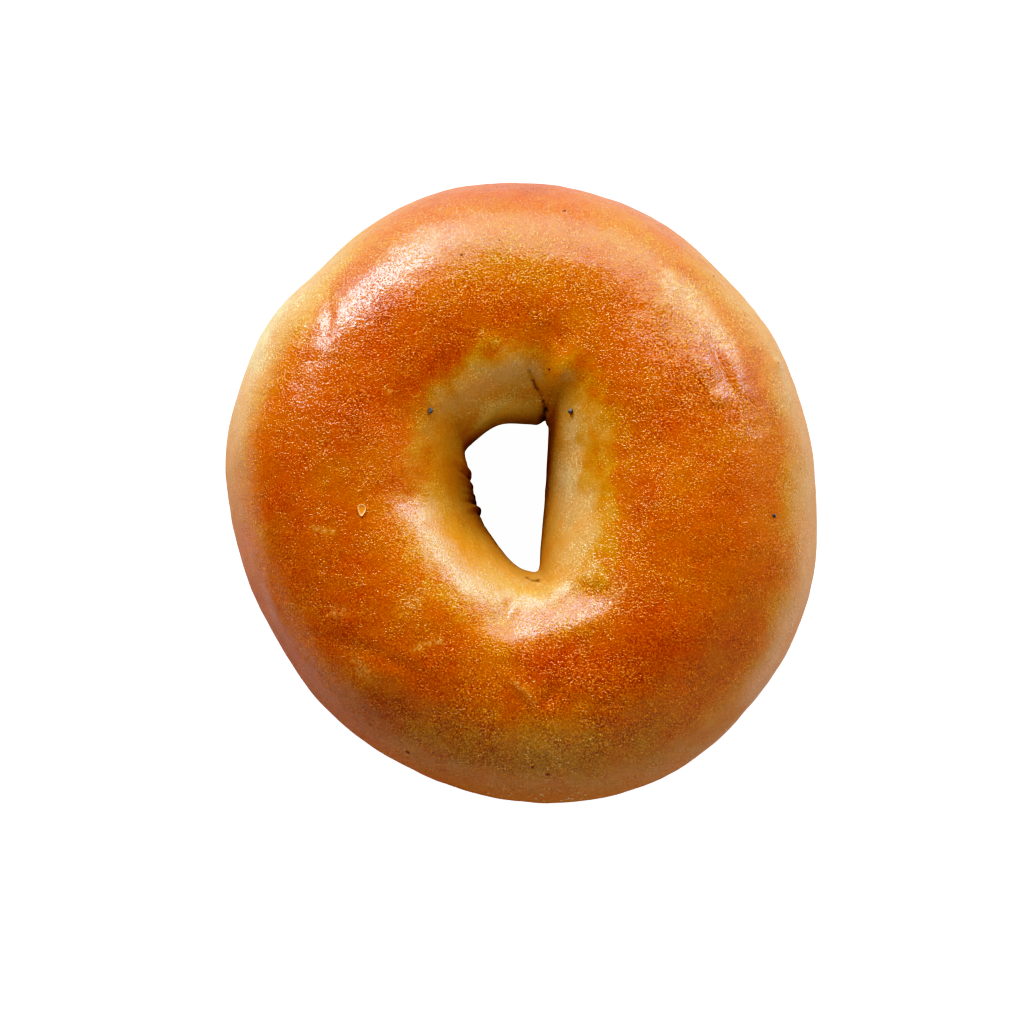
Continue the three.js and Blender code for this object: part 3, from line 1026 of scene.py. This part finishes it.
def camera():
    data = bpy.data.cameras.new("camera")
    data.lens = LENS
    data.sensor_width = SENSOR
    data.clip_start = 0.01
    distance = LENS / SENSOR * PICTURE_PIXELS * MM_PER_PIXEL
    tilt = math.radians(VIEW_ELEVATION)
    back = Vector((0, -math.cos(tilt), math.sin(tilt)))
    view = link(bpy.data.objects.new("camera", data))
    view.location = (Vector(VIEW_AIM) + back * distance) * MM
    view.rotation_euler = back.to_track_quat("Z", "Y").to_euler()
    bpy.context.scene.camera = view


# The lights' places and sizes are in metres.
LIGHT_AIM = Vector((0, 0, 0.02))
# azimuth, elevation, distance, width, height, watts, colour
SOFTBOXES = {
    "key": (122, 32, 0.75, 0.34, 0.24, 4.5, (0.93, 0.93, 0.93)),
    "top": (86, 51, 0.75, 0.5, 0.16, 0.85, (0.93, 0.96, 1.0)),
    "side": (45, 31, 0.75, 0.3, 0.16, 0.95, (0.93, 0.97, 1.0)),
}


def softbox(name, azimuth, elevation, distance, width, height, watts, colour):
    data = bpy.data.lights.new(name, "AREA")
    data.shape = "RECTANGLE"
    data.size = width
    data.size_y = height
    data.energy = watts
    data.color = colour
    flat = math.cos(math.radians(elevation))
    east = flat * math.cos(math.radians(azimuth))
    north = flat * math.sin(math.radians(azimuth))
    out = Vector((east, north, math.sin(math.radians(elevation))))
    light = link(bpy.data.objects.new(name, data))
    light.location = LIGHT_AIM + out * distance
    light.rotation_euler = out.to_track_quat("Z", "Y").to_euler()


STAGE_HALF = 1.5
# Depth below the base in millimetres, shade, glow
FLOOR = (0.2, 0.7, 0.0)
SHEET = (0.1, 0.3, 1.2)


def flat_stage(name, depth, shade, glow):
    mesh = bpy.data.meshes.new(name)
    corners = [(-1, -1), (1, -1), (1, 1), (-1, 1)]
    corners = [(x * STAGE_HALF, y * STAGE_HALF, -depth * MM) for x, y in corners]
    mesh.from_pydata(corners, [], [(0, 1, 2, 3)])
    stage = link(bpy.data.objects.new(name, mesh))
    material = bpy.data.materials.new(name)
    material.use_nodes = True
    shader = material.node_tree.nodes["Principled BSDF"]
    shader.inputs["Base Color"].default_value = (shade, shade, shade, 1)
    shader.inputs["Roughness"].default_value = 0.9
    shader.inputs["Emission Color"].default_value = (1, 1, 1, 1)
    shader.inputs["Emission Strength"].default_value = glow
    mesh.materials.append(material)
    stage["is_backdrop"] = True
    return stage


def floor():
    """A pale floor that lights the bagel from below, and a white sheet on it that is only seen."""
    bounce = flat_stage("floor", *FLOOR)
    bounce.visible_camera = False
    sheet = flat_stage("sheet", *SHEET)
    sheet.visible_diffuse = False
    sheet.visible_glossy = False
    sheet.visible_shadow = False


# Sky brightness against height, where 0 is the horizon and 1 is overhead.
SKY_STOPS = (
    (0.0, (0.4, 0.4, 0.4, 1)),
    (0.6, (0.48, 0.48, 0.48, 1)),
    (0.88, (0.08, 0.08, 0.08, 1)),
    (1.0, (0.03, 0.03, 0.03, 1)),
)
# The sky darkens towards the west, down to this share of it.
SKY_WEST = (0.2, 0.75)
SKY_WEST_SHARE = 0.35
# It brightens towards the south, up to this share.
SKY_SOUTH = (0.1, 0.8)
SKY_SOUTH_SHARE = 1.5
# A broad band of window light behind the bagel: the heights over which it rises and falls, and how far
# a direction has to face its azimuth, where 1 is straight at it.
WINDOW_RADIANCE = 2.8
WINDOW_RISE = (0.0, 0.3)
WINDOW_FALL = (0.62, 0.74)
WINDOW_AZIMUTH = 82
WINDOW_FACING = (0.4, 0.65)
WINDOW_TINT = (1.0, 0.97, 0.95)


def surroundings():
    """Dark overhead, pale towards the horizon, with one broad band of light from behind."""
    world = bpy.data.worlds.new("world")
    world.use_nodes = True
    tree = world.node_tree
    way = add(tree, "ShaderNodeTexCoord").outputs["Generated"]
    parts = add(tree, "ShaderNodeSeparateXYZ", None, Vector=way)
    height = parts.outputs["Z"]
    sky = ramp(tree, height, SKY_STOPS)
    west = maths(tree, "MULTIPLY", parts.outputs["X"], -1.0)
    dark = span(tree, west, *SKY_WEST, 1, SKY_WEST_SHARE)
    south = maths(tree, "MULTIPLY", parts.outputs["Y"], -1.0)
    bright = span(tree, south, *SKY_SOUTH, 1, SKY_SOUTH_SHARE)
    sky = vector(tree, "SCALE", sky, scale=maths(tree, "MULTIPLY", dark, bright))
    rising = span(tree, height, *WINDOW_RISE)
    falling = span(tree, height, *WINDOW_FALL, 1, 0)
    middle = (math.cos(math.radians(WINDOW_AZIMUTH)), math.sin(math.radians(WINDOW_AZIMUTH)), 0)
    facing = add(tree, "ShaderNodeVectorMath", {"operation": "DOT_PRODUCT"}, _0=way, _1=middle)
    radiance = span(tree, facing.outputs["Value"], *WINDOW_FACING, 0, WINDOW_RADIANCE)
    window = maths(tree, "MULTIPLY", maths(tree, "MULTIPLY", rising, falling), radiance)
    both = vector(tree, "ADD", sky, vector(tree, "SCALE", WINDOW_TINT, scale=window))
    tree.links.new(both, tree.nodes["Background"].inputs["Color"])
    bpy.context.scene.world = world


# Scene brightness in, picture brightness out: deep darks and soft highlights, as film has.
FILM_WHITE = 1.25
FILM_POINTS = ((0.025, 0.005), (0.1, 0.077), (0.3, 0.31), (0.6, 0.63), (0.9, 0.88))
# Deep blues fall off sooner still. Share of white in, share of white out
FILM_BLUE = ((0.01, 0.005), (0.03, 0.022), (0.08, 0.078))
BLUE_CURVE = 2
COMBINED_CURVE = 3


def film():
    settings = bpy.context.scene.view_settings
    settings.view_transform = "Standard"
    settings.use_curve_mapping = True
    mapping = settings.curve_mapping
    mapping.white_level = (FILM_WHITE, FILM_WHITE, FILM_WHITE)
    for scene_value, picture_value in FILM_POINTS:
        mapping.curves[COMBINED_CURVE].points.new(scene_value / FILM_WHITE, picture_value)
    for blue_in, blue_out in FILM_BLUE:
        mapping.curves[BLUE_CURVE].points.new(blue_in, blue_out)
    mapping.update()


camera()
floor()
surroundings()
for name, sizes in SOFTBOXES.items():
    softbox(name, *sizes)
film()

sizes = {"cad": CAD_BOX, "visual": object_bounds()}
